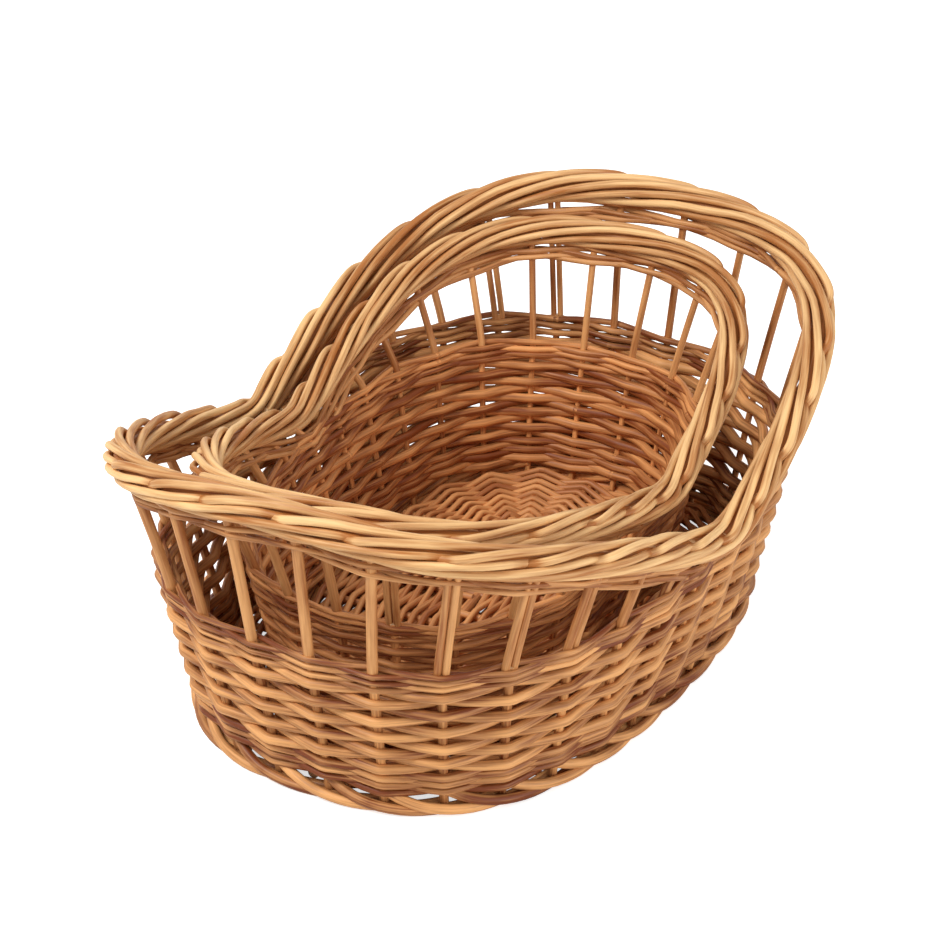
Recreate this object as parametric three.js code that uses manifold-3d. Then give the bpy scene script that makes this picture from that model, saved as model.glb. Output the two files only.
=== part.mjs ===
// Two nested willow gift baskets with saddle rims, the smaller standing in the larger.
// Millimetres, +Z up. The origin is on the ground below the middle of the larger basket, whose long axis is X.
import * as THREE from "three";
import { mergeVertices } from "three/addons/utils/BufferGeometryUtils.js";
import Module from "manifold-3d";

// Rods
const STAKE_DIAMETER = 4.7; // the uprights
const WEAVER_DIAMETER = 4.9; // the rods that are woven round the uprights
const STICK_DIAMETER = 5; // the crossed sticks of each base
const CLEARANCE = 0.3; // between pieces that touch
const BAND_CLEARANCE = 0.6; // between the band and the border, whose facets don't run quite alike
const SOCKET_DEPTH = 4.5; // how far an upright enters the border

// Larger basket. Lengths and widths are taken on the line of the uprights.
const OUTER_BASE_LENGTH = 291;
const OUTER_BASE_WIDTH = 200;
const OUTER_TOP_LENGTH = 320;
const OUTER_TOP_WIDTH = 233;
const OUTER_WALL_TOP = 80; // height of the woven wall
const OUTER_RIM_LENGTH = 337; // these two on the border's centre
const OUTER_RIM_WIDTH = 244;
const OUTER_RIM_DIP = 3.5; // border's centre above the wall's top, at the middle of a long side
const OUTER_RIM_RISE = 65; // how much higher the border is over an end
const OUTER_BORDER_DIAMETER = 15.6;
const OUTER_BAND_HEIGHT = 7; // the woven band right under the border, over an end
const OUTER_BAND_GROWTH = 4; // how much higher the band is at the middle of a long side
const OUTER_FOOT_DIAMETER = 9;
const OUTER_STAKES = 32;
const OUTER_STAKE_PHASE = 0.5; // place of the first upright, in spaces from the end of the oval
const OUTER_RING_STEPS = 44; // facets once round each ring of this basket

// Smaller basket. It follows the hollow of the larger one, less these gaps from wall to wall.
const NEST_GAP_END = 19;
const NEST_GAP_SIDE = 20;
const NEST_GAP_FOOT = 16;
const INNER_WALL_TOP = 69.5;
const INNER_RIM_LENGTH = 282;
const INNER_RIM_WIDTH = 184;
const INNER_RIM_DIP = 10;
const INNER_RIM_RISE = 43.5;
const INNER_BORDER_DIAMETER = 14;
const INNER_BAND_HEIGHT = 6;
const INNER_BAND_GROWTH = 3;
const INNER_FOOT_DIAMETER = 8;
const INNER_STAKES = 28;
const INNER_STAKE_PHASE = 0.25;
const INNER_RING_STEPS = 40;
const INNER_TURN = THREE.MathUtils.degToRad(4.5); // how it happens to stand in the larger one
const INNER_SHIFT = new THREE.Vector2(2.6, 2.9);

// Both baskets
const OVAL_EXPONENT = 2.55; // 2 is an ellipse, more is squarer
const RIM_EXPONENT = 3; // the border's plan is squarer than the wall's
const OVAL_DIVISIONS = 720; // for measuring lengths round an oval
const SADDLE_ROUNDING = 0.08; // how gently the rim turns at the middle of a long side
const ROD_SIDES = 6;
const ROW_PITCH = 6.5; // from one row of the wall to the next
const WEAVE_RELIEF = 3.6; // from where a row passes in front of an upright to where it passes behind
const WALE_HEIGHT = 7; // the thinner rows that close the top of the wall
const WALE_WRAP = 2.5; // thickness of those rows on each face of the uprights
const BORDER_STRANDS = 5;
const BORDER_TURNS = 4; // turns of the strands round the border, once round the basket
const STRAND_VALLEY = 0.8; // radius between two strands, as a share of the radius over a strand
const FOOT_STRANDS = 3;
const FOOT_TURNS = 6;
const FOOT_CUT = 1; // the foot is flat this far up its strands
const BASE_THICKNESS = 5.7;
const LONG_STICK_GAP = 15;
const CROSS_STICK_GAP = 45;
const CROSS_STICK_MARGIN = 25; // least room between the last cross stick and the end of the oval
const NEAR = 0.001; // fraction of the way round that counts as close by, for directions
const LEAST_OPENING = 6; // an upright shows where the wall and the band are this far apart

const WILLOW = { color: 0xc68642, roughness: 0.45, metalness: 0 };
const DARK_WILLOW = { color: 0x9a5f2e, roughness: 0.5, metalness: 0 };

const wasm = await Module();
wasm.setup();

// A closed geometry as a manifold-3d solid.
function solidOf(geometry) {
  const bare = geometry.clone();
  bare.deleteAttribute("normal");
  bare.deleteAttribute("uv");
  const merged = mergeVertices(bare, 1e-4);
  return new wasm.Manifold(
    new wasm.Mesh({
      numProp: 3,
      vertProperties: merged.attributes.position.array,
      triVerts: new Uint32Array(merged.index.array),
    }),
  );
}

// A manifold-3d solid as a named mesh.
function meshOf(name, solid, finish) {
  const { vertProperties, triVerts } = solid.getMesh();
  const geometry = new THREE.BufferGeometry();
  geometry.setAttribute("position", new THREE.BufferAttribute(vertProperties, 3));
  geometry.setIndex(new THREE.BufferAttribute(triVerts, 1));
  geometry.computeVertexNormals();
  const mesh = new THREE.Mesh(geometry, new THREE.MeshStandardMaterial(finish));
  mesh.name = name;
  return mesh;
}

// The plan of a basket at one height: a superellipse.
class Oval extends THREE.Curve {
  constructor(length, width, exponent = OVAL_EXPONENT) {
    super();
    this.a = length / 2;
    this.b = width / 2;
    this.exponent = exponent;
    this.arcLengthDivisions = OVAL_DIVISIONS;
  }

  getPoint(t) {
    const c = Math.cos(2 * Math.PI * t);
    const s = Math.sin(2 * Math.PI * t);
    const power = 2 / this.exponent;
    const x = this.a * Math.sign(c) * Math.abs(c) ** power;
    const y = this.b * Math.sign(s) * Math.abs(s) ** power;
    return new THREE.Vector3(x, y, 0);
  }

  // The horizontal direction that faces out of the oval at a point on it.
  outwardAt(point) {
    const power = this.exponent - 1;
    const x = (Math.sign(point.x) * Math.abs(point.x / this.a) ** power) / this.a;
    const y = (Math.sign(point.y) * Math.abs(point.y / this.b) ** power) / this.b;
    return new THREE.Vector3(x, y, 0).normalize();
  }
}

// A closed ring: a torus whose points are put where place(u, v) says,
// u being the way round the basket and v the way round the section, counterclockwise seen along the way round.
function ring(steps, sides, place) {
  const geometry = new THREE.TorusGeometry(1, 0.5, sides, steps);
  const { position, uv } = geometry.attributes;
  for (let i = 0; i < position.count; i++) {
    const u = Math.round(uv.getX(i) * steps) % steps;
    const v = Math.round(uv.getY(i) * sides) % sides;
    const point = place(u / steps, v);
    position.setXYZ(i, point.x, point.y, point.z);
  }
  return solidOf(geometry);
}

// A rod along X, middle at the origin.
function straightRod(diameter, length) {
  const geometry = new THREE.CylinderGeometry(diameter / 2, diameter / 2, length, ROD_SIDES);
  geometry.rotateZ(Math.PI / 2);
  return geometry;
}

class Basket {
  constructor(sizes) {
    Object.assign(this, sizes);
    this.foot = new Oval(this.baseLength, this.baseWidth);
    this.top = new Oval(this.topLength, this.topWidth);
    this.rim = new Oval(this.rimLength, this.rimWidth, RIM_EXPONENT);
    this.footTop = this.footDiameter - FOOT_CUT;
    this.stickHeight = this.footTop - STICK_DIAMETER / 2;
    this.floor = this.stickHeight + BASE_THICKNESS;
    this.borderRadius = this.borderDiameter / 2;
    this.wallHalf = STAKE_DIAMETER / 2 + WEAVER_DIAMETER;
    this.waleHalf = STAKE_DIAMETER / 2 + WALE_WRAP;
  }

  // 0 at the middle of a long side, 1 at an end of the oval.
  rise(u) {
    const share = Math.hypot(Math.cos(2 * Math.PI * u), SADDLE_ROUNDING) - SADDLE_ROUNDING;
    return share / (Math.hypot(1, SADDLE_ROUNDING) - SADDLE_ROUNDING);
  }

  // The bend of an upright where the woven wall ends, a fraction u of the way round.
  wallPoint(u) {
    return this.top.getPointAt(u).setZ(this.wallTop);
  }

  // The lowest point of an upright, on the foot.
  footPoint(u) {
    return this.foot.getPointAt(u).setZ(this.footTop + CLEARANCE);
  }

  // The centre of the border.
  rimPoint(u) {
    const height = this.wallTop + this.rimDip + this.rimRise * this.rise(u);
    return this.rim.getPointAt(u).setZ(height);
  }

  // How much longer a plumb line between two lines that follow the rim is than the distance between them.
  slant(u) {
    const along = this.rimPoint((u + NEAR) % 1).sub(this.rimPoint((u + 1 - NEAR) % 1));
    return along.length() / Math.hypot(along.x, along.y);
  }

  // The band's height, which grows where the border comes down to the wall.
  bandHeightAt(u) {
    return this.bandHeight + this.bandGrowth * (1 - this.rise(u));
  }

  // How far below the border's centre the woven band ends.
  bandDrop(u) {
    return (this.borderRadius + BAND_CLEARANCE + this.bandHeightAt(u)) * this.slant(u);
  }

  // A point on the line of the uprights at a height, above or below the bend.
  linePoint(u, z) {
    const bend = this.wallPoint(u);
    const end = z > this.wallTop ? this.rimPoint(u) : this.footPoint(u);
    return bend.lerp(end, (z - this.wallTop) / (end.z - this.wallTop));
  }

  // Where upright number i stands, a fraction of the way round.
  stakePlace(i) {
    return ((i + this.stakePhase) / this.stakes) % 1;
  }

  // The places of the uprights that show between the wall and the band.
  stakePlaces() {
    const all = Array.from({ length: this.stakes }, (_, i) => this.stakePlace(i));
    return all.filter((u) => this.rimPoint(u).z - this.bandDrop(u) - this.wallTop > LEAST_OPENING);
  }

  // An upright: it stands on the foot, bends at the wall's top and ends inside the border.
  stake(u, spare) {
    const radius = STAKE_DIAMETER / 2 + spare;
    const levels = [this.footPoint(u), this.wallPoint(u), this.rimPoint(u)];
    const axis = levels[2].clone().sub(levels[1]).normalize();
    levels[2].addScaledVector(axis, SOCKET_DEPTH - this.borderRadius + spare);
    levels[0].z -= spare;
    const geometry = new THREE.CylinderGeometry(radius, radius, 2, ROD_SIDES, 2);
    geometry.rotateX(Math.PI / 2);
    const { position } = geometry.attributes;
    for (let i = 0; i < position.count; i++) {
      const level = levels[Math.round(position.getZ(i)) + 1];
      position.setXYZ(i, position.getX(i) + level.x, position.getY(i) + level.y, level.z);
    }
    return solidOf(geometry);
  }

  // The wall's section at upright number i: distance from the line of the uprights, and height, counterclockwise.
  // A row passes in front of one upright and behind the next, and the row above it the other way about.
  wallSection(i) {
    const bottom = this.footTop + CLEARANCE;
    const waleFoot = this.wallTop - WALE_HEIGHT;
    const rows = Math.round((waleFoot - bottom) / ROW_PITCH);
    const middle = this.wallHalf - WEAVE_RELIEF / 2;
    const outside = [[middle, bottom]];
    const inside = [[-middle, bottom]];
    for (let row = 0; row < rows; row++) {
      const z = THREE.MathUtils.lerp(bottom, waleFoot, (row + 0.5) / rows);
      const shift = ((row + i) % 2 ? 1 : -1) * (WEAVE_RELIEF / 2);
      outside.push([middle + shift, z]);
      inside.push([-middle + shift, z]);
    }
    for (const z of [waleFoot, this.wallTop]) {
      outside.push([this.waleHalf, z]);
      inside.push([-this.waleHalf, z]);
    }
    return [...outside, ...inside.reverse()];
  }

  // The woven wall, straight from upright to upright.
  wall(places) {
    const sections = Array.from({ length: this.stakes }, (_, i) => this.wallSection(i));
    const body = ring(this.stakes, sections[0].length, (turn, v) => {
      const i = Math.round(turn * this.stakes);
      const u = this.stakePlace(i);
      const [distance, z] = sections[i][v];
      return this.linePoint(u, z).addScaledVector(this.top.outwardAt(this.wallPoint(u)), distance);
    });
    return this.bored(body.subtract(this.bandRoom()), places);
  }

  // The room of the band and of all above it, which the wall leaves free at the long sides.
  bandRoom() {
    const half = this.wallHalf + WEAVE_RELIEF;
    const section = [
      [half, 0],
      [half, this.wallTop],
      [-half, this.wallTop],
      [-half, 0],
    ];
    return ring(this.steps, section.length, (u, v) => {
      const [distance, height] = section[v];
      const low = this.linePoint(u, this.rimPoint(u).z - this.bandDrop(u) - CLEARANCE);
      low.addScaledVector(this.top.outwardAt(this.wallPoint(u)), distance);
      return low.setZ(low.z + height);
    });
  }

  // The band of thin rows that hangs right under the border.
  band(places) {
    const flat = STAKE_DIAMETER / 2 + WALE_WRAP / 2;
    const section = [
      [this.waleHalf, 0],
      [flat, 1],
      [-flat, 1],
      [-this.waleHalf, 0],
      [-flat, -1],
      [flat, -1],
    ];
    const body = ring(this.steps, section.length, (u, v) => {
      const [distance, height] = section[v];
      const drop = this.borderRadius + BAND_CLEARANCE + (this.bandHeightAt(u) / 2) * (1 - height);
      const point = this.linePoint(u, this.rimPoint(u).z - drop * this.slant(u));
      return point.addScaledVector(this.top.outwardAt(this.wallPoint(u)), distance);
    });
    return this.bored(body, places);
  }

  // The rolled border: strands that climb over the rim, once round the basket.
  border(places) {
    const body = this.rope(
      (u) => this.rimPoint(u),
      this.borderRadius,
      BORDER_STRANDS,
      BORDER_TURNS,
    );
    return this.bored(body, places);
  }

  // The foot: a plait that the basket stands on, cut flat underneath.
  footBorder() {
    const radius = this.footDiameter / 2;
    const body = this.rope(
      (u) => this.foot.getPointAt(u).setZ(radius - FOOT_CUT),
      radius,
      FOOT_STRANDS,
      FOOT_TURNS,
    );
    const below = new THREE.BoxGeometry(2 * this.topLength, 2 * this.topWidth, this.footDiameter);
    below.translate(0, 0, -radius);
    return body.subtract(solidOf(below));
  }

  // Strands twisted into a ring round the line that centreAt gives. They turn from outside, over the top, to inside.
  rope(centreAt, radius, strands, turns) {
    return ring(this.steps, 2 * strands, (u, v) => {
      const angle = (v / strands) * Math.PI + 2 * Math.PI * turns * u - Math.PI / 2;
      const reach = v % 2 ? STRAND_VALLEY * radius : radius;
      const centre = centreAt(u);
      const along = centreAt((u + NEAR) % 1).sub(centreAt((u + 1 - NEAR) % 1)).normalize();
      const out = along.clone().cross(new THREE.Vector3(0, 0, 1)).normalize();
      const up = out.clone().cross(along);
      centre.addScaledVector(out, reach * Math.cos(angle));
      return centre.addScaledVector(up, reach * Math.sin(angle));
    });
  }

  // A piece with a bore, or a socket, for each upright that meets it.
  bored(body, places) {
    return places.reduce((rest, u) => rest.subtract(this.stake(u, CLEARANCE)), body);
  }

  // The sticks of the base, slit and pushed through each other, reaching to the foot.
  sticks(spare) {
    const diameter = STICK_DIAMETER + 2 * spare;
    const reach = this.foot.a - this.footDiameter / 2 - CLEARANCE;
    const reachAcross = this.foot.b - this.footDiameter / 2 - CLEARANCE;
    const shareAt = (offset) => (1 - Math.abs(offset) ** OVAL_EXPONENT) ** (1 / OVAL_EXPONENT);
    const rods = [];
    for (const row of [-1, 0, 1]) {
      const y = row * LONG_STICK_GAP;
      const half = reach * shareAt(y / reachAcross);
      rods.push(straightRod(diameter, 2 * half).translate(0, y, this.stickHeight));
    }
    const pairs = Math.floor((reach - CROSS_STICK_MARGIN) / CROSS_STICK_GAP);
    for (let row = -pairs; row <= pairs; row++) {
      const x = row * CROSS_STICK_GAP;
      const half = reachAcross * shareAt(x / reach);
      rods.push(straightRod(diameter, 2 * half).rotateZ(Math.PI / 2).translate(x, 0, this.stickHeight));
    }
    return rods.map(solidOf).reduce((all, rod) => all.add(rod));
  }

  // The woven oval of the base, seated on its sticks and reaching to the wall.
  base() {
    const inset = this.wallHalf + CLEARANCE;
    const edge = new Oval(this.baseLength - 2 * inset, this.baseWidth - 2 * inset);
    const shape = new THREE.Shape(
      Array.from({ length: this.stakes }, (_, i) => {
        const point = edge.getPointAt(this.stakePlace(i));
        return new THREE.Vector2(point.x, point.y);
      }),
    );
    const plate = new THREE.ExtrudeGeometry(shape, {
      depth: BASE_THICKNESS,
      bevelEnabled: false,
    });
    plate.translate(0, 0, this.stickHeight);
    return solidOf(plate).subtract(this.sticks(CLEARANCE));
  }

  build() {
    const places = this.stakePlaces();
    const group = new THREE.Group();
    group.add(meshOf(`${this.name}_foot_border`, this.footBorder(), WILLOW));
    group.add(meshOf(`${this.name}_base_sticks`, this.sticks(0), DARK_WILLOW));
    group.add(meshOf(`${this.name}_base_weave`, this.base(), DARK_WILLOW));
    group.add(meshOf(`${this.name}_woven_wall`, this.wall(places), WILLOW));
    group.add(meshOf(`${this.name}_rim_band`, this.band(places), DARK_WILLOW));
    group.add(meshOf(`${this.name}_rolled_border`, this.border(places), WILLOW));
    places.forEach((u, i) => {
      const number = String(i + 1).padStart(2, "0");
      group.add(meshOf(`${this.name}_upright_${number}`, this.stake(u, 0), WILLOW));
    });
    return group;
  }
}

const outer = new Basket({
  name: "outer",
  baseLength: OUTER_BASE_LENGTH,
  baseWidth: OUTER_BASE_WIDTH,
  topLength: OUTER_TOP_LENGTH,
  topWidth: OUTER_TOP_WIDTH,
  wallTop: OUTER_WALL_TOP,
  rimLength: OUTER_RIM_LENGTH,
  rimWidth: OUTER_RIM_WIDTH,
  rimDip: OUTER_RIM_DIP,
  rimRise: OUTER_RIM_RISE,
  borderDiameter: OUTER_BORDER_DIAMETER,
  bandHeight: OUTER_BAND_HEIGHT,
  bandGrowth: OUTER_BAND_GROWTH,
  footDiameter: OUTER_FOOT_DIAMETER,
  stakes: OUTER_STAKES,
  stakePhase: OUTER_STAKE_PHASE,
  steps: OUTER_RING_STEPS,
});

// From the larger basket's line of uprights to the smaller one's: two half walls and the gap between them.
const nestEnd = outer.waleHalf + outer.wallHalf + NEST_GAP_END;
const nestSide = outer.waleHalf + outer.wallHalf + NEST_GAP_SIDE;
const nestFoot = 2 * outer.wallHalf + NEST_GAP_FOOT;

const inner = new Basket({
  name: "inner",
  baseLength: OUTER_BASE_LENGTH - 2 * nestFoot,
  baseWidth: OUTER_BASE_WIDTH - 2 * nestFoot,
  topLength: OUTER_TOP_LENGTH - 2 * nestEnd,
  topWidth: OUTER_TOP_WIDTH - 2 * nestSide,
  wallTop: INNER_WALL_TOP,
  rimLength: INNER_RIM_LENGTH,
  rimWidth: INNER_RIM_WIDTH,
  rimDip: INNER_RIM_DIP,
  rimRise: INNER_RIM_RISE,
  borderDiameter: INNER_BORDER_DIAMETER,
  bandHeight: INNER_BAND_HEIGHT,
  bandGrowth: INNER_BAND_GROWTH,
  footDiameter: INNER_FOOT_DIAMETER,
  stakes: INNER_STAKES,
  stakePhase: INNER_STAKE_PHASE,
  steps: INNER_RING_STEPS,
});

const innerGroup = inner.build();
innerGroup.position.set(INNER_SHIFT.x, INNER_SHIFT.y, outer.floor + CLEARANCE);
innerGroup.rotation.z = INNER_TURN;

const baskets = new THREE.Group();
baskets.add(outer.build(), innerGroup);

export default baskets;
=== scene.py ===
# Two nested willow gift baskets: every rod of their weave, its finish, the light and the photograph's view.
# Sizes are in millimetres, and a piece is turned into metres when its mesh is made.
# A place round a basket is u, a share of the oval's edge.
# u starts at the far end and runs counterclockwise, seen from above.
import functools
import math
from dataclasses import dataclass

import bmesh
import bpy
import numpy as np
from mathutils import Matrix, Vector


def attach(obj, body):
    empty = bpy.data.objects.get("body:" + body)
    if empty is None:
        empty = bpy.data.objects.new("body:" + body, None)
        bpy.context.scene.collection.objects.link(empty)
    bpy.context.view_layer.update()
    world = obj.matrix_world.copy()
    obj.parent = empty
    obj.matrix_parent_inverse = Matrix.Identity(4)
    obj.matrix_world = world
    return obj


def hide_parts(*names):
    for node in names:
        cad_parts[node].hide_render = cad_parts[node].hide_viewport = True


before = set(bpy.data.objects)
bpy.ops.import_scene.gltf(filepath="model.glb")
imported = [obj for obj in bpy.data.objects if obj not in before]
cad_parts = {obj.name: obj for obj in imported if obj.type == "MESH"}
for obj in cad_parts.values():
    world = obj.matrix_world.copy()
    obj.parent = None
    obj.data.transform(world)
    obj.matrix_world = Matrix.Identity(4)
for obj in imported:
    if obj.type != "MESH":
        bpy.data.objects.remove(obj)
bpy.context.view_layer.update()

MM = 0.001
TAU = 2 * math.pi
SEED = 7

# Both baskets
OVAL_EXPONENT = 2.55
RIM_EXPONENT = 3
OVAL_DIVISIONS = 2880
SADDLE_ROUNDING = 0.08
RIM_LEAN = 0.042  # the rims stand a little higher on the side towards the viewer
NEAR = 0.001  # share of the way round that counts as close by, for directions

# Rods
ROD_SIDES = 8
BORDER_ROD_SIDES = 10
STRAIGHT_ROD_SIDES = 12
STEEP = 0.8  # a rod that starts steeper than this takes its first direction from X
GRAIN_SPREAD = 10  # metres within which the rods lie apart in the pattern of their grain
PATCHES = 16  # paler and deeper patches along a rod
PATCH_TONE = 0.25

# Rows of the weave
KINK_HALF = 0.045  # half the length of the kink at an upright, in spaces between uprights
STATIONS = np.array([-KINK_HALF, 0, KINK_HALF, 0.35, 0.65])  # points of a rod for each space
SWING_GROWTH = 1.05  # a rod's swing from side to side is drawn a little wide
SWING_LIMIT = 0.97  # and then cut short, so that the rod passes the uprights flat
SHARED_SWAY = 0.35  # slow rise and fall that neighbouring rows share
ROW_WAVINESS = 0.1  # rise and fall of each row by itself, against its rods' diameter
ROW_WAVES = (3, 7, 11, 17)
THICKER = 0.1  # share by which the rows' rods are thicker at the far end, and at the near end thinner
UNEVEN = 0.08  # share by which a rod's thickness wanders
UNEVEN_WAVES = (1, 2, 3)
BOTTOM_ROWS = 6  # thinner rows that close the bottom of the wall
BOTTOM_PITCH = 2
BOTTOM_GAP = 2.6  # between the foot and the lowest row
BOTTOM_DIAMETER = 3.7
TOP_ROWS = 6  # the same at its top
TOP_PITCH = 1.7
TOP_DIAMETER = 2.8
BAND_ROWS = 5
BAND_DIAMETER = 2.6
BAND_CLEARANCE = 0.6
BAND_WAVINESS = 0.35
BAND_TOP_DEPTH = 0.8  # of the border's radius, under its centre

# Uprights
STAKE_SUNK = 3  # how far they reach down into the foot
WALL_MIDDLE = 0.5  # share of the wall's height at which their path has a point
BEND_DEPTH = 8  # they bend at the wall's top, from this far under it
OPEN_PARTS = np.array([0.35, 0.7, 0.97])  # points on the way from there to the border's centre
LOW_OPENING = 12  # under a border that is lower than this, the points are spread evenly
LOW_BEND = 2  # from this far above where the bend begins
PATH_POINTS = 15
STAKE_END = 8  # where an upright has its own piece, the wall's stake ends at this point
UPRIGHT_START = 6  # and the piece begins at this one
STAKE_SHARE = 0.9  # thickness of a stake within the wall, against an upright
TOP_LEAN = 0.12  # how far their tops lean along the border, in spaces between uprights
TOP_SPREAD = 0.3  # and how much more or less by turns on the way round
SPREAD_PLACE = 0.55  # u from which that is counted
THINNER = 0.12  # share by which those at the far end are thinner, and at the near end thicker
THICKNESS_RANGE = (0.94, 1.05)
LEAST_OPENING = 6  # lower than this, an upright counts as hidden
PAIR_SHARE = 0.76  # thickness of a doubled upright's rods, against a single one
PAIR_OFFSET = 1.7  # of each rod of a pair to the side
OFFSET_SPREAD = 0.1  # at random, to either side

# Base
SPOKE_DIAMETER = 3.4
SPOKE_POINTS = 5
BASE_ROD_DIAMETER = 2.9
BASE_ROW_PITCH = 2.65
BASE_INSET = 4.5
BASE_MIDDLE = 4  # the rows stop this far from the base's middle line
BASE_WAVE = 2.8  # how far its rods stand above or below the spokes
BASE_UNEVEN = 0.05
BASE_UNEVEN_WAVES = (1, 2)
STICK_DIAMETER = 5
STICK_POINTS = 6
STICK_CLEARANCE = 0.3
LONG_STICK_GAP = 15
CROSS_STICK_GAP = 45
CROSS_STICK_MARGIN = 25


class Oval:
    """The plan of a basket at one height: a superellipse, measured along its edge."""

    def __init__(self, length, width, exponent=OVAL_EXPONENT):
        self.a = length / 2
        self.b = width / 2
        self.exponent = exponent
        turn = np.linspace(0, TAU, OVAL_DIVISIONS + 1)
        power = 2 / exponent
        self.x = self.a * np.sign(np.cos(turn)) * abs(np.cos(turn)) ** power
        self.y = self.b * np.sign(np.sin(turn)) * abs(np.sin(turn)) ** power
        steps = np.hypot(np.diff(self.x), np.diff(self.y))
        self.edge = steps.sum()
        self.share = np.concatenate([[0], np.cumsum(steps)]) / self.edge

    def at(self, u):
        u = np.mod(u, 1)
        x = np.interp(u, self.share, self.x)
        y = np.interp(u, self.share, self.y)
        return np.stack([x, y, np.zeros_like(x)], axis=-1)

    def outward(self, u):
        x, y, z = self.at(u).T
        power = self.exponent - 1
        across = np.sign(x) * abs(x / self.a) ** power / self.a
        along = np.sign(y) * abs(y / self.b) ** power / self.b
        return unit(np.stack([across, along, z], axis=-1))


def unit(vectors):
    return vectors / np.linalg.norm(vectors, axis=-1, keepdims=True)


@dataclass
class Basket:
    """One basket's sizes, and the lines that its rods follow."""

    name: str
    base_size: tuple  # length and width at the foot, on the line of the uprights
    top_size: tuple  # the same at the wall's top
    rim_size: tuple  # and at the border's centre
    wall_top: float
    rim_dip: float  # least height of the border's centre above the wall's top
    rim_rise: float  # how much higher it is at the ends
    border_radius: float
    band_height: float
    band_growth: float  # how much taller the band is at the dip on the right, and lower at the other
    foot_top: float
    foot_diameter: float
    floor: float  # the top of the base's weave
    stick_height: float
    stakes: int  # uprights all round
    stake_phase: float  # from the far end to the first of them, in spaces between uprights
    doubled: tuple  # the uprights that are a pair of thinner rods
    stake_diameter: float
    pressed: float  # how far rows stand out from the uprights' line, against rods that only touch
    crossing_painted_shade: float  # painted shade: how much deeper in colour rows are where they cross that line, in the recess between uprights
    siding_diameter: float  # of the wall's rods between the thinner rows
    siding_pitch: float
    drift: float  # how far the uprights stand from even places, in spaces between uprights
    drift_place: float  # u where that is most
    spokes: int
    spoke_phase: float
    turn: float  # radians, of the basket in the pair
    shift: tuple  # of its middle along X and Y
    lift: float  # of its foot

    def __post_init__(self):
        self.foot = Oval(*self.base_size)
        self.top = Oval(*self.top_size)
        self.rim_oval = Oval(*self.rim_size, RIM_EXPONENT)
        self.space = self.top.edge / self.stakes
        self.draw = np.random.default_rng(SEED + self.stakes)
        openings = self.band_bottom(self.share(range(self.stakes))) - self.wall_top
        self.hidden = set(np.flatnonzero(openings <= LEAST_OPENING).tolist())

    def share(self, place):
        """u of a place that is counted in uprights, which stand a little unevenly."""
        u = (np.asarray(place, float) + self.stake_phase) / self.stakes
        return u + self.drift / self.stakes * np.cos(TAU * (u - self.drift_place))

    def leaned(self, u, part):
        """u of the uprights a part of their way up from the wall to the border's centre."""
        lean = TOP_LEAN + TOP_SPREAD * np.sin(2 * TAU * (u - SPREAD_PLACE))
        return u + part * lean / self.stakes

    def stake_diameter_at(self, u):
        return self.stake_diameter * (1 - THINNER * np.cos(TAU * u))

    def rise(self, u):
        """From 0 at the middle of the long sides to 1 at the ends."""
        height = np.hypot(np.cos(TAU * u), SADDLE_ROUNDING) - SADDLE_ROUNDING
        return height / (math.hypot(1, SADDLE_ROUNDING) - SADDLE_ROUNDING)

    def rim(self, u):
        """The border's centre."""
        points = self.rim_oval.at(u)
        points[..., 2] = self.wall_top + self.rim_dip + self.rim_rise * self.rise(u)
        points[..., 2] -= RIM_LEAN * points[..., 1]
        return points

    def rim_frame(self, u):
        """The border's centre, and the directions out of the basket and up, square to the border."""
        along = unit(self.rim(u + NEAR) - self.rim(u - NEAR))
        out = unit(np.cross(along, [0, 0, 1]))
        return self.rim(u), out, np.cross(out, along)

    def slant(self, u):
        """How much longer the border's centre is than its plan, where it climbs."""
        step = self.rim(u + NEAR) - self.rim(u - NEAR)
        return np.linalg.norm(step, axis=-1) / np.hypot(step[..., 0], step[..., 1])

    def band_height_at(self, u):
        return self.band_height - self.band_growth * (1 - self.rise(u)) * np.sin(TAU * u)

    def band_top(self, u):
        return self.rim(u)[..., 2] - self.border_radius * BAND_TOP_DEPTH * self.slant(u)

    def band_bottom(self, u):
        drop = self.border_radius + BAND_CLEARANCE + self.band_height_at(u)
        return self.rim(u)[..., 2] - drop * self.slant(u)

    def line(self, u, z):
        """A point on the line of the uprights at a height."""
        bend = self.top.at(u)
        bend[..., 2] = self.wall_top
        low = self.foot.at(u)
        low[..., 2] = self.foot_top
        end = np.where((z > self.wall_top)[..., None], self.rim(u), low)
        part = (z - self.wall_top) / (end[..., 2] - self.wall_top)
        return bend + (end - bend) * part[..., None]

    def beside(self, u, z, distance):
        """A point at a distance outside the line of the uprights."""
        return self.line(u, z) + self.top.outward(u) * np.asarray(distance)[..., None]

    def placed(self, points):
        """Points of this basket where it stands in the pair, in metres."""
        cos, sin = math.cos(self.turn), math.sin(self.turn)
        x = points[..., 0] * cos - points[..., 1] * sin + self.shift[0]
        y = points[..., 0] * sin + points[..., 1] * cos + self.shift[1]
        return np.stack([x, y, points[..., 2] + self.lift], axis=-1) * MM


outer = Basket(
    "outer",
    base_size=(291, 200),
    top_size=(320, 233),
    rim_size=(337, 244),
    wall_top=80,
    rim_dip=3.5,
    rim_rise=65,
    border_radius=7.8,
    band_height=7,
    band_growth=4,
    foot_top=8,
    foot_diameter=9,
    floor=11.2,
    stick_height=5.5,
    stakes=32,
    stake_phase=0.57,
    doubled=(1, 2, 8, 18, 19, 20, 27),
    stake_diameter=4.2,
    pressed=0.72,
    crossing_painted_shade=0.5,
    siding_diameter=4.9,
    siding_pitch=4.85,
    drift=0.14,
    drift_place=0.08,
    spokes=26,
    spoke_phase=0.5,
    turn=0,
    shift=(0, 0),
    lift=0,
)

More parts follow.
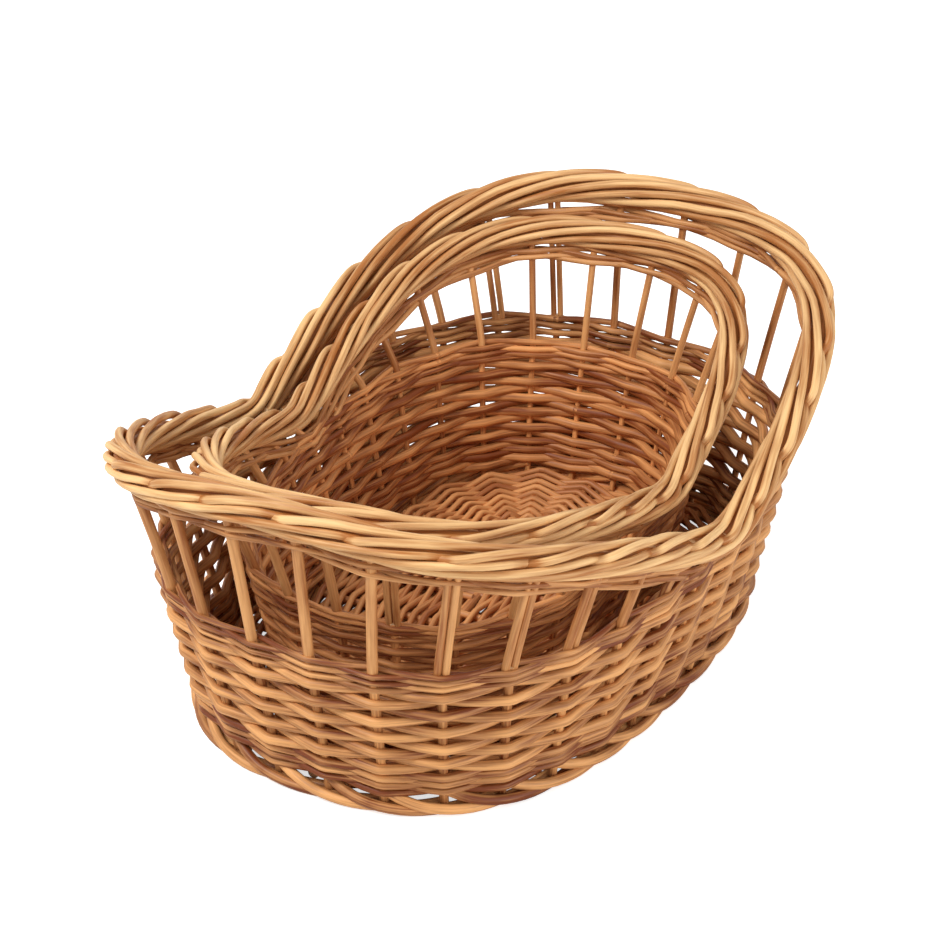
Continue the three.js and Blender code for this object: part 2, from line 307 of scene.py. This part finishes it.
inner = Basket(
    "inner",
    base_size=(230, 139),
    top_size=(257.8, 168.8),
    rim_size=(282, 184),
    wall_top=69.5,
    rim_dip=10,
    rim_rise=43.5,
    border_radius=7,
    band_height=6,
    band_growth=1,
    foot_top=7,
    foot_diameter=8,
    floor=11,
    stick_height=4.5,
    stakes=28,
    stake_phase=0.1,
    doubled=(15, 21),
    stake_diameter=3.7,
    pressed=0.5,
    crossing_painted_shade=0.26,
    siding_diameter=4.1,
    siding_pitch=3.75,
    drift=0.2,
    drift_place=0,
    spokes=22,
    spoke_phase=0.73,
    turn=math.radians(4.5),
    shift=(2.6, 2.9),
    lift=11.5,
)


# Rods
@functools.cache
def straight_tube(stations, sides):
    """A tube of unit radius along Z with a ring of points at each whole number.

    Its caps are material 1. Gives its mesh and the places of its points.
    """
    tube = bmesh.new()
    bmesh.ops.create_circle(tube, segments=sides, radius=1)
    edges = tube.edges[:]
    for _ in range(stations - 1):
        grown = bmesh.ops.extrude_edge_only(tube, edges=edges)["geom"]
        points = [item for item in grown if isinstance(item, bmesh.types.BMVert)]
        edges = [item for item in grown if isinstance(item, bmesh.types.BMEdge)]
        bmesh.ops.translate(tube, verts=points, vec=(0, 0, 1))
    for face in tube.faces:
        face.smooth = True
    open_edges = [edge for edge in tube.edges if edge.is_boundary]
    for cap in bmesh.ops.holes_fill(tube, edges=open_edges, sides=sides)["faces"]:
        cap.material_index = 1
        for edge in cap.edges:
            edge.smooth = False
    bmesh.ops.recalc_face_normals(tube, faces=tube.faces[:])
    mesh = bpy.data.meshes.new("straight_tube")
    tube.to_mesh(mesh)
    tube.free()
    places = np.empty(len(mesh.vertices) * 3)
    mesh.vertices.foreach_get("co", places)
    return mesh, places.reshape(-1, 3)


def carried_frames(path):
    """Two directions square to the path at each of its points, carried along it without twist."""
    ahead = unit(np.gradient(path, axis=0))
    across = np.empty_like(path)
    helper = (0, 0, 1) if abs(ahead[0, 2]) < STEEP else (1, 0, 0)
    side = np.cross(ahead[0], helper)
    for k, direction in enumerate(ahead):
        side = side - direction * side.dot(direction)
        side /= np.linalg.norm(side)
        across[k] = side
    return across, np.cross(ahead, across)


class Rods:
    """Gathers the rods of a piece and makes them one object.

    Each of its points has a place in the pattern of the grain, and a share from deep to pale colour that is
    random and made deeper by painted shade.
    """

    def __init__(self, basket):
        self.basket = basket
        self.mesh = bmesh.new()
        self.points = []
        self.grain = []
        self.tone_and_painted_shade = []

    def add(self, path, diameter, sides=ROD_SIDES, dimmed=0):
        """One rod along a path of the basket.

        Its diameter and its painted shade, how much deeper its colour is, are numbers, or one for each
        point of the path.
        """
        draw = self.basket.draw
        path = self.basket.placed(np.asarray(path, float))
        radius = np.broadcast_to(np.asarray(diameter, float) / 2 * MM, len(path))
        tube, places = straight_tube(len(path), sides)
        self.mesh.from_mesh(tube)
        across, upright = carried_frames(path)
        k = np.rint(places[:, 2]).astype(int)
        cos = places[:, 0] * radius[k]
        sin = places[:, 1] * radius[k]
        self.points.append(path[k] + across[k] * cos[:, None] + upright[k] * sin[:, None])
        steps = np.linalg.norm(np.diff(path, axis=0), axis=1)
        length = np.concatenate([[0], np.cumsum(steps)])
        start = draw.uniform(0, GRAIN_SPREAD, 3)
        self.grain.append(np.stack([length[k], cos, sin], axis=-1) + start)
        along = np.linspace(0, PATCHES - 1, len(path))
        tones = draw.uniform(-PATCH_TONE, PATCH_TONE, PATCHES)
        patches = np.interp(along, np.arange(PATCHES), tones)
        # Random colour along the rod, made deeper where shade is painted
        self.tone_and_painted_shade.append((draw.uniform() + patches - dimmed)[k])

    def finish(self, name, materials, nodes):
        mesh = bpy.data.meshes.new(name)
        self.mesh.to_mesh(mesh)
        self.mesh.free()
        mesh.vertices.foreach_set("co", np.concatenate(self.points).ravel())
        grain = mesh.attributes.new("grain", "FLOAT_VECTOR", "POINT")
        grain.data.foreach_set("vector", np.concatenate(self.grain).ravel())
        tone_and_painted_shade = mesh.attributes.new("tone_and_painted_shade", "FLOAT", "POINT")
        tone_and_painted_shade.data.foreach_set("value", np.concatenate(self.tone_and_painted_shade))
        for material in materials:
            mesh.materials.append(material)
        mesh.update()
        piece = bpy.data.objects.new(name, mesh)
        bpy.context.scene.collection.objects.link(piece)
        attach(piece, f"{self.basket.name}_basket")
        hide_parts(*nodes)


def wander(draw, places, size, waves=(1, 2, 3, 5, 8)):
    """A smooth random wave along a rod, the same at the start and the end of one way round."""
    total = np.zeros_like(places)
    for wave in waves:
        total += draw.normal() * np.sin(TAU * (wave * places + draw.uniform())) / math.sqrt(len(waves))
    return size * total


def smooth_path(knots, count):
    """Points on the smooth curve through the knots, evenly spread from the first to the last."""
    knots = np.asarray(knots, float)
    place = np.linspace(0, len(knots) - 1, count)
    k = np.minimum(place.astype(int), len(knots) - 2)
    t = (place - k)[:, None]
    padded = np.vstack([2 * knots[0] - knots[1], knots, 2 * knots[-1] - knots[-2]])
    before, start, end, after = padded[k], padded[k + 1], padded[k + 2], padded[k + 3]
    bend = 2 * before - 5 * start + 4 * end - after
    swing = 3 * start - before - 3 * end + after
    return start + 0.5 * t * ((end - before) + t * (bend + t * swing))


# Woven wall
def woven_rows(rods, low, high, rows, diameter, limit=None, waviness=ROW_WAVINESS):
    """Rows of one rod each, in front of one upright and behind the next.

    The row above goes the other way. low and high give the heights between which the rows lie,
    and a row stops where it comes to the limit.
    """
    basket = rods.basket
    draw = basket.draw
    reach = basket.pressed * (basket.stake_diameter + diameter) / 2
    sway = draw.uniform(0, 1, (3, 2))
    for row in range(rows):
        first = 2 * draw.integers(basket.stakes // 2) + row % 2
        stakes = first + np.arange(basket.stakes + 1)
        place = (stakes[:, None] + STATIONS).ravel()[:-2]
        u = basket.share(place)
        swing = np.interp(place, stakes, np.where((stakes + row) % 2 == 0, -1, 1))
        share = (row + 0.5) / rows
        level = low(u) + (high(u) - low(u)) * share
        for wave, (phase, tilt) in enumerate(sway):
            level += SHARED_SWAY * np.sin(TAU * ((wave + 2) * u + phase + tilt * share))
        level += wander(draw, u, waviness * diameter, ROW_WAVES)
        thick = diameter * (1 + THICKER * np.cos(TAU * u) + wander(draw, u, UNEVEN, UNEVEN_WAVES))
        # Where a row climbs, it keeps closer to the uprights
        climb = np.hypot(1, np.gradient(level, u * basket.top.edge))
        distance = np.clip(swing * SWING_GROWTH, -SWING_LIMIT, SWING_LIMIT) * reach / climb**2
        path = basket.beside(u, level, distance)
        # Painted shade: rows are deeper in colour where they cross between the uprights, in the recess
        dimmed = basket.crossing_painted_shade * (1 - abs(swing))
        free = np.ones(len(u), bool) if limit is None else level < limit(u)
        for run in np.split(np.arange(len(u)), np.flatnonzero(np.diff(free)) + 1):
            if free[run[0]] and len(run) > 2:
                rods.add(path[run], thick[run], dimmed=dimmed[run])


def woven_wall(basket, materials):
    rods = Rods(basket)
    bottom = basket.foot_top + BOTTOM_GAP
    siding_bottom = bottom + BOTTOM_ROWS * BOTTOM_PITCH
    siding_top = basket.wall_top - TOP_ROWS * TOP_PITCH
    rows = round((siding_top - siding_bottom) / basket.siding_pitch)

    def flat(z):
        return lambda u: np.full_like(u, z)

    def border(u):
        return basket.rim(u)[..., 2] - basket.border_radius / 2

    woven_rows(rods, flat(bottom), flat(siding_bottom), BOTTOM_ROWS, BOTTOM_DIAMETER)
    woven_rows(rods, flat(siding_bottom), flat(siding_top), rows, basket.siding_diameter, border)
    woven_rows(rods, flat(siding_top), flat(basket.wall_top), TOP_ROWS, TOP_DIAMETER, border)
    for place in range(basket.stakes):
        end = PATH_POINTS if place in basket.hidden else STAKE_END
        diameter = basket.stake_diameter_at(basket.share(place)) * STAKE_SHARE
        rods.add(upright_path(basket, place)[:end], diameter)
    rods.finish(f"{basket.name}_wall_rods", materials, [f"{basket.name}_woven_wall"])


# Uprights
def upright_path(basket, place, aside=0):
    """From the foot, round the bend at the wall's top, into the border."""
    bottom = basket.foot_top - STAKE_SUNK
    bend = basket.wall_top
    in_wall = [bottom, bend * WALL_MIDDLE, bend - BEND_DEPTH, bend]
    u = basket.leaned(basket.share(place), np.concatenate([np.zeros(len(in_wall)), OPEN_PARTS]))
    top = float(basket.rim(u[:1])[0, 2])
    z = np.concatenate([in_wall, bend + (top - bend) * OPEN_PARTS])
    if top - bend < LOW_OPENING:
        z[3:] = np.linspace(z[2] + LOW_BEND, top, 4)
    shift = aside / basket.space / basket.stakes
    return smooth_path(basket.line(u + shift, z), PATH_POINTS)


def uprights(basket, materials, nodes):
    rods = Rods(basket)
    for place in range(basket.stakes):
        if place in basket.hidden:
            continue
        diameter = basket.stake_diameter_at(basket.share(place)) * basket.draw.uniform(*THICKNESS_RANGE)
        offsets = (0,)
        if place in basket.doubled:
            offsets = (-PAIR_OFFSET, PAIR_OFFSET)
            diameter *= PAIR_SHARE
        for offset in offsets:
            aside = offset + basket.draw.uniform(-OFFSET_SPREAD, OFFSET_SPREAD)
            path = upright_path(basket, place, aside)[UPRIGHT_START:]
            rods.add(path, diameter, sides=STRAIGHT_ROD_SIDES)
    rods.finish(f"{basket.name}_upright_rods", materials, nodes)


# Band under the border
def rim_band(basket, materials):
    rods = Rods(basket)
    low, high = basket.band_bottom, basket.band_top
    woven_rows(rods, low, high, BAND_ROWS, BAND_DIAMETER, waviness=BAND_WAVINESS)
    rods.finish(f"{basket.name}_band_rods", materials, [f"{basket.name}_rim_band"])


# Rolled border
# Each rod leaves its upright as a knee on the outside and winds once round the border.
# Places along it are in spaces between uprights, and angles in degrees from outside over the top.
# The last number is its distance from the border's centre, against a rod that lies on the surface.
BORDER_WINDING = [
    (-0.25, 14, 0.2),
    (-0.1, 25, 0.72),
    (0.04, 35, 1.08),
    (0.22, 46, 1.17),
    (0.6, 66, 1.09),
    (1, 86, 1.0),
    (2, 132, 1.0),
    (3, 178, 1.0),
    (4, 224, 1.0),
    (5, 270, 1.0),
    (6, 314, 1.0),
    (7, 357, 1.0),
    (7.35, 371, 0.99),
    (7.58, 381, 0.86),
    (7.76, 388, 0.6),
    (7.95, 394, 0.4),
    (8.1, 400, 0.2),
]
BORDER_POINTS = 70
BORDER_PAINTED_SHADE = ((-0.1, -0.03, 7.7, 7.85), (0.9, 0, 0, 0.9))  # painted shade: deeper in colour where a rod is tucked in, in the border's hollows
BORDER_ROD_SHARE = 0.46  # a rod's diameter, against the border's radius
BORDER_TAPER = (1.05, 0.9)  # its thickness at the knee and at the end
BORDER_ROD_RANGE = (0.95, 1.05)
KNEE_SPREAD = 0.12  # how far a rod may start early, in spaces between uprights
ANGLE_SPREAD = 4  # at random, the same along the whole of a rod
ANGLE_WANDER = 3
DISTANCE_WANDER = 0.2
WANDER_SPACES = 9  # spaces between uprights after which a rod's wandering repeats
CORE_SHARE = 0.9  # thickness of the core that closes the border, painted dark as the shade inside it, against the border's radius
CORE_PAINTED_SHADE = 2
CORE_END = 1.01  # it laps over its start
CORE_POINTS = 6  # for each space between uprights


def rolled_border(basket, materials):
    rods = Rods(basket)
    draw = basket.draw
    diameter = basket.border_radius * BORDER_ROD_SHARE
    reach = basket.border_radius - diameter / 2
    for place in range(basket.stakes):
        spaces, angle, distance = smooth_path(BORDER_WINDING, BORDER_POINTS).T
        u = basket.leaned(basket.share(place + spaces + draw.uniform(-KNEE_SPREAD, 0)), 1)
        angle = angle + draw.uniform(-ANGLE_SPREAD, ANGLE_SPREAD)
        turn = np.radians(angle + wander(draw, spaces / WANDER_SPACES, ANGLE_WANDER))
        radius = reach * distance + wander(draw, spaces / WANDER_SPACES, DISTANCE_WANDER)
        centre, out, up = basket.rim_frame(u)
        path = centre + out * (radius * np.cos(turn))[:, None] + up * (radius * np.sin(turn))[:, None]
        thick = diameter * np.linspace(*BORDER_TAPER, len(path)) * draw.uniform(*BORDER_ROD_RANGE)
        # Painted shade where the rod's ends lie tucked into the hollows of the border
        rods.add(path, thick, sides=BORDER_ROD_SIDES, dimmed=np.interp(spaces, *BORDER_PAINTED_SHADE))
    # A core rod, painted dark as the shade inside the rolled border, closes it
    core = basket.rim(np.linspace(0, CORE_END, CORE_POINTS * basket.stakes))
    rods.add(core, basket.border_radius * CORE_SHARE, dimmed=CORE_PAINTED_SHADE)
    rods.finish(
        f"{basket.name}_border_rods", materials, [f"{basket.name}_rolled_border"]
    )


# Foot
# Each rod comes down outside its upright, passes under the next ones and ends inside the basket.
# Along in spaces between uprights, then height, then distance outside the line of the uprights.
FOOT_PLAIT = [
    (0.0, 11.5, 0.3),
    (0.35, 7.8, 2.2),
    (0.8, 4.8, 3.6),
    (1.4, 2.9, 3.0),
    (2.0, 2.4, 0.6),
    (2.6, 2.5, -2.0),
    (3.1, 3.2, -3.8),
]
FOOT_PLAIT_DIAMETER = 9  # of the foot that the plait is drawn for
FOOT_POINTS = 22
FOOT_ROD_DIAMETER = 4.7
FOOT_ROD_RANGE = (0.95, 1.0)
FOOT_SPREAD = 0.04  # at random, in spaces between uprights


def foot_border(basket, materials):
    rods = Rods(basket)
    size = basket.foot_diameter / FOOT_PLAIT_DIAMETER
    for place in range(basket.stakes):
        along, height, distance = smooth_path(FOOT_PLAIT, FOOT_POINTS).T
        u = basket.share(place + along + basket.draw.uniform(-FOOT_SPREAD, FOOT_SPREAD))
        points = basket.foot.at(u) + basket.foot.outward(u) * (distance * size)[:, None]
        points[:, 2] = height * size
        rods.add(points, FOOT_ROD_DIAMETER * size * basket.draw.uniform(*FOOT_ROD_RANGE))
    rods.finish(f"{basket.name}_foot_rods", materials, [f"{basket.name}_foot_border"])


# Base
def base_weave(basket, materials):
    """Spokes from the middle to the wall, and rows of thin rods over and under them."""
    rods = Rods(basket)
    draw = basket.draw
    spine = basket.foot.a - basket.foot.b
    middle = np.array([0, 0, basket.floor - BASE_WAVE - BASE_ROD_DIAMETER / 2])
    edge = Oval(2 * (basket.foot.a - BASE_INSET), 2 * (basket.foot.b - BASE_INSET))

    def from_spine(place, share):
        """Points a share of the way from the base's middle line to its edge.

        Their places round it are counted in spokes.
        """
        ends = edge.at((place + basket.spoke_phase) / basket.spokes)
        roots = np.clip(ends, [-spine, 0, 0], [spine, 0, 0])
        return roots + (ends - roots) * share + middle

    for spoke in range(basket.spokes):
        shares = np.linspace(0, 1, SPOKE_POINTS)
        line = np.concatenate([from_spine(np.array([spoke]), share) for share in shares])
        rods.add(line, SPOKE_DIAMETER)
    for row in range(int((edge.b - BASE_MIDDLE) / BASE_ROW_PITCH)):
        spokes = draw.integers(basket.spokes) + np.arange(basket.spokes + 1)
        place = (spokes[:, None] + [-KINK_HALF, KINK_HALF]).ravel()
        path = from_spine(place, 1 - (row + 0.5) * BASE_ROW_PITCH / edge.b)
        path[:, 2] += np.repeat(np.where((spokes + row) % 2 == 0, BASE_WAVE, -BASE_WAVE), 2)
        uneven = wander(draw, place / basket.spokes, BASE_UNEVEN, BASE_UNEVEN_WAVES)
        rods.add(path, BASE_ROD_DIAMETER * (1 + uneven))
    rods.finish(f"{basket.name}_base_rods", materials, [f"{basket.name}_base_weave"])


def base_sticks(basket, materials):
    """The sticks that cross under the base, where the CAD has them."""
    rods = Rods(basket)
    reach = basket.foot.a - basket.foot_diameter / 2 - STICK_CLEARANCE
    reach_across = basket.foot.b - basket.foot_diameter / 2 - STICK_CLEARANCE

    def share_at(offset):
        return (1 - abs(offset) ** OVAL_EXPONENT) ** (1 / OVAL_EXPONENT)

    def add_stick(start, end):
        path = np.linspace((*start, basket.stick_height), (*end, basket.stick_height), STICK_POINTS)
        rods.add(path, STICK_DIAMETER, sides=STRAIGHT_ROD_SIDES)

    for row in (-1, 0, 1):
        y = row * LONG_STICK_GAP
        half = reach * share_at(y / reach_across)
        add_stick((-half, y), (half, y))
    pairs = int((reach - CROSS_STICK_MARGIN) / CROSS_STICK_GAP)
    for row in range(-pairs, pairs + 1):
        x = row * CROSS_STICK_GAP
        half = reach_across * share_at(x / reach)
        add_stick((x, -half), (x, half))
    rods.finish(f"{basket.name}_stick_rods", materials, [f"{basket.name}_base_sticks"])


# Finish
STREAKS = (45, 1000, 1000)  # for each metre, along a rod and across it
STREAK_WEIGHT = 1.7
BLOTCHES = (22, 160, 160)
BLOTCH_WEIGHT = 1.6
TONE_WEIGHT = 0.6
PALENESS = 0.26  # share of the pale colour in a rod of middling streaks and blotches and the least tone
LEAST_ROUGHNESS = 0.42
BLOTCH_ROUGHNESS = 0.25
BLOTCH_HEIGHT = 0.5  # against the streaks'
MIX_SHARE, MIX_FIRST, MIX_SECOND = 0, 6, 7  # places of a colour mix's inputs
MIX_COLOUR = 2  # and of its result
SKIN_SOCKETS = (
    ("Pale", "INPUT", "NodeSocketColor"),
    ("Deep", "INPUT", "NodeSocketColor"),
    ("Color", "OUTPUT", "NodeSocketColor"),
    ("Roughness", "OUTPUT", "NodeSocketFloat"),
    ("Height", "OUTPUT", "NodeSocketFloat"),
)
DULL_VARNISH = 0.1


def varnished_skin():
    """Colour, roughness and height of varnished willow.

    Its colour differs from rod to rod and is deeper where shade is painted, and it has blotches and fine
    streaks along the rod.
    """
    group = bpy.data.node_groups.new("varnished_skin", "ShaderNodeTree")
    for name, direction, kind in SKIN_SOCKETS:
        group.interface.new_socket(name=name, in_out=direction, socket_type=kind)
    nodes = group.nodes
    link = group.links.new
    given = nodes.new("NodeGroupInput")
    result = nodes.new("NodeGroupOutput")
    grain = nodes.new("ShaderNodeAttribute")
    grain.attribute_name = "grain"
    tone_and_painted_shade = nodes.new("ShaderNodeAttribute")
    tone_and_painted_shade.attribute_name = "tone_and_painted_shade"

    def pattern(stretch, detail):
        mapping = nodes.new("ShaderNodeMapping")
        mapping.inputs["Scale"].default_value = stretch
        noise = nodes.new("ShaderNodeTexNoise")
        noise.inputs["Scale"].default_value = 1
        noise.inputs["Detail"].default_value = detail
        link(grain.outputs["Vector"], mapping.inputs["Vector"])
        link(mapping.outputs["Vector"], noise.inputs["Vector"])
        return noise.outputs["Fac"]

    def worked_out(operation, first, second):
        """The result of a node that takes two values, each a number or another node's result."""
        node = nodes.new("ShaderNodeMath")
        node.operation = operation
        for place, value in zip(node.inputs, (first, second)):
            if isinstance(value, (int, float)):
                place.default_value = value
            else:
                link(value, place)
        return node.outputs[0]

    def added(first, second):
        return worked_out("ADD", first, second)

    def weighted(value, weight):
        return worked_out("MULTIPLY", value, weight)

    def about_zero(noise):
        return worked_out("SUBTRACT", noise, 0.5)

    streaks = pattern(STREAKS, detail=3)
    blotches = pattern(BLOTCHES, detail=2)
    share = weighted(tone_and_painted_shade.outputs["Fac"], TONE_WEIGHT)
    share = added(share, weighted(about_zero(blotches), BLOTCH_WEIGHT))
    share = added(share, weighted(about_zero(streaks), STREAK_WEIGHT))
    share = added(share, PALENESS)
    mix = nodes.new("ShaderNodeMix")
    mix.data_type = "RGBA"
    mix.clamp_factor = True
    link(share, mix.inputs[MIX_SHARE])
    link(given.outputs["Deep"], mix.inputs[MIX_FIRST])
    link(given.outputs["Pale"], mix.inputs[MIX_SECOND])
    link(mix.outputs[MIX_COLOUR], result.inputs["Color"])
    link(added(weighted(blotches, BLOTCH_ROUGHNESS), LEAST_ROUGHNESS), result.inputs["Roughness"])
    link(added(streaks, weighted(blotches, BLOTCH_HEIGHT)), result.inputs["Height"])
    return group


def willow(name, pale, deep, skin, coat=DULL_VARNISH):
    material = bpy.data.materials.new(name)
    material.use_nodes = True
    nodes = material.node_tree.nodes
    link = material.node_tree.links.new
    shader = nodes["Principled BSDF"]
    shader.inputs["Coat Weight"].default_value = coat
    shader.inputs["Coat Roughness"].default_value = 0.3
    shader.inputs["Specular IOR Level"].default_value = 0.3
    group = nodes.new("ShaderNodeGroup")
    group.node_tree = skin
    group.inputs["Pale"].default_value = (*pale, 1)
    group.inputs["Deep"].default_value = (*deep, 1)
    bump = nodes.new("ShaderNodeBump")
    bump.inputs["Strength"].default_value = 0.5
    bump.inputs["Distance"].default_value = 0.0003
    link(group.outputs["Color"], shader.inputs["Base Color"])
    link(group.outputs["Roughness"], shader.inputs["Roughness"])
    link(group.outputs["Height"], bump.inputs["Height"])
    link(bump.outputs["Normal"], shader.inputs["Normal"])
    return material


skin = varnished_skin()
wall_willow = {
    "outer": willow("outer_wall_willow", (0.82, 0.41, 0.15), (0.19, 0.042, 0.007), skin),
    "inner": willow("inner_wall_willow", (0.87, 0.395, 0.135), (0.24, 0.057, 0.011), skin),
}
border_willow = willow("border_willow", (0.92, 0.58, 0.26), (0.44, 0.16, 0.038), skin)
upright_willow = willow("upright_willow", (0.76, 0.38, 0.14), (0.36, 0.12, 0.03), skin)
band_willow = willow("band_willow", (0.74, 0.37, 0.14), (0.29, 0.09, 0.02), skin)
base_willow = willow("base_willow", (0.79, 0.365, 0.13), (0.36, 0.11, 0.032), skin)
cut_willow = willow("cut_willow", (0.85, 0.62, 0.36), (0.6, 0.35, 0.15), skin, coat=0)

# Pieces
for basket in (outer, inner):
    prefix = f"{basket.name}_upright_"
    upright_nodes = sorted(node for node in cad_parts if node.startswith(prefix))
    foot_border(basket, (wall_willow[basket.name], cut_willow))
    base_sticks(basket, (base_willow, cut_willow))
    base_weave(basket, (base_willow, cut_willow))
    woven_wall(basket, (wall_willow[basket.name], cut_willow))
    uprights(basket, (upright_willow, cut_willow), upright_nodes)
    rim_band(basket, (band_willow, cut_willow))
    rolled_border(basket, (border_willow, cut_willow))


# Floor, light and camera
IMAGE_WIDTH = 931
AIM_HEIGHT = 0.08
CAMERA_DISTANCE = 1.542
CAMERA_AZIMUTH = 1.038  # radians, how far the pair is turned to the camera
CAMERA_ELEVATION = 0.528
FOCAL_PIXELS = 3477
SENSOR_WIDTH = 36
CENTRE_RIGHT = 15.84  # pixels from the middle of the picture to the middle of the view
CENTRE_DOWN = 14.12
FLOOR_GLOW = 0.7  # keeps the floor white where the camera sees it
SURROUNDINGS_LIGHT = 0.54  # of the white surroundings, which are 1 where they are seen or mirrored


def pale_floor():
    bpy.ops.mesh.primitive_plane_add(size=8)
    floor = bpy.context.object
    floor.name = "floor"
    material = bpy.data.materials.new("pale_floor")
    material.use_nodes = True
    nodes = material.node_tree.nodes
    shader = nodes["Principled BSDF"]
    shader.inputs["Base Color"].default_value = (0.85, 0.85, 0.85, 1)
    shader.inputs["Roughness"].default_value = 0.9
    shader.inputs["Specular IOR Level"].default_value = 0.1
    shader.inputs["Emission Color"].default_value = (1, 1, 1, 1)
    path = nodes.new("ShaderNodeLightPath")
    glow = nodes.new("ShaderNodeMath")
    glow.operation = "MULTIPLY"
    glow.inputs[1].default_value = FLOOR_GLOW
    material.node_tree.links.new(path.outputs["Is Camera Ray"], glow.inputs[0])
    material.node_tree.links.new(glow.outputs[0], shader.inputs["Emission Strength"])
    floor.data.materials.append(material)


def white_surroundings():
    world = bpy.data.worlds.new("surroundings")
    bpy.context.scene.world = world
    world.use_nodes = True
    nodes = world.node_tree.nodes
    link = world.node_tree.links.new
    sky = nodes["Background"]
    sky.inputs["Color"].default_value = (1, 1, 1, 1)
    path = nodes.new("ShaderNodeLightPath")
    seen = nodes.new("ShaderNodeMath")
    seen.operation = "MAXIMUM"
    link(path.outputs["Is Camera Ray"], seen.inputs[0])
    link(path.outputs["Is Glossy Ray"], seen.inputs[1])
    strength = nodes.new("ShaderNodeMapRange")
    strength.inputs["To Min"].default_value = SURROUNDINGS_LIGHT
    strength.inputs["To Max"].default_value = 1
    link(seen.outputs[0], strength.inputs["Value"])
    link(strength.outputs["Result"], sky.inputs["Strength"])


def face_the_pair(thing):
    aim = Vector((0, 0, AIM_HEIGHT)) - thing.location
    thing.rotation_euler = aim.to_track_quat("-Z", "Y").to_euler()


def soft_lamp(name, place, size, power):
    lamp = bpy.data.lights.new(name, "AREA")
    lamp.size = size
    lamp.energy = power
    holder = bpy.data.objects.new(name, lamp)
    holder.location = place
    face_the_pair(holder)
    bpy.context.scene.collection.objects.link(holder)


def beside_view(right, back, height):
    """A place in metres, given from the viewer: right of the pair, behind it, above the floor."""
    cos, sin = math.cos(CAMERA_AZIMUTH), math.sin(CAMERA_AZIMUTH)
    return (right * cos + back * sin, -right * sin + back * cos, height)


def photograph_view():
    data = bpy.data.cameras.new("camera")
    data.sensor_width = SENSOR_WIDTH
    data.lens = FOCAL_PIXELS * SENSOR_WIDTH / IMAGE_WIDTH
    data.shift_x = -CENTRE_RIGHT / IMAGE_WIDTH
    data.shift_y = CENTRE_DOWN / IMAGE_WIDTH
    camera = bpy.data.objects.new("camera", data)
    height = AIM_HEIGHT + CAMERA_DISTANCE * math.sin(CAMERA_ELEVATION)
    camera.location = beside_view(0, -CAMERA_DISTANCE * math.cos(CAMERA_ELEVATION), height)
    face_the_pair(camera)
    bpy.context.scene.collection.objects.link(camera)
    bpy.context.scene.camera = camera


pale_floor()
white_surroundings()
soft_lamp("key", beside_view(right=-0.95, back=-0.5, height=1.4), size=0.6, power=19)
soft_lamp("fill", beside_view(right=1.3, back=-0.9, height=0.3), size=1.2, power=14)
photograph_view()
bpy.context.scene.view_settings.view_transform = "Standard"
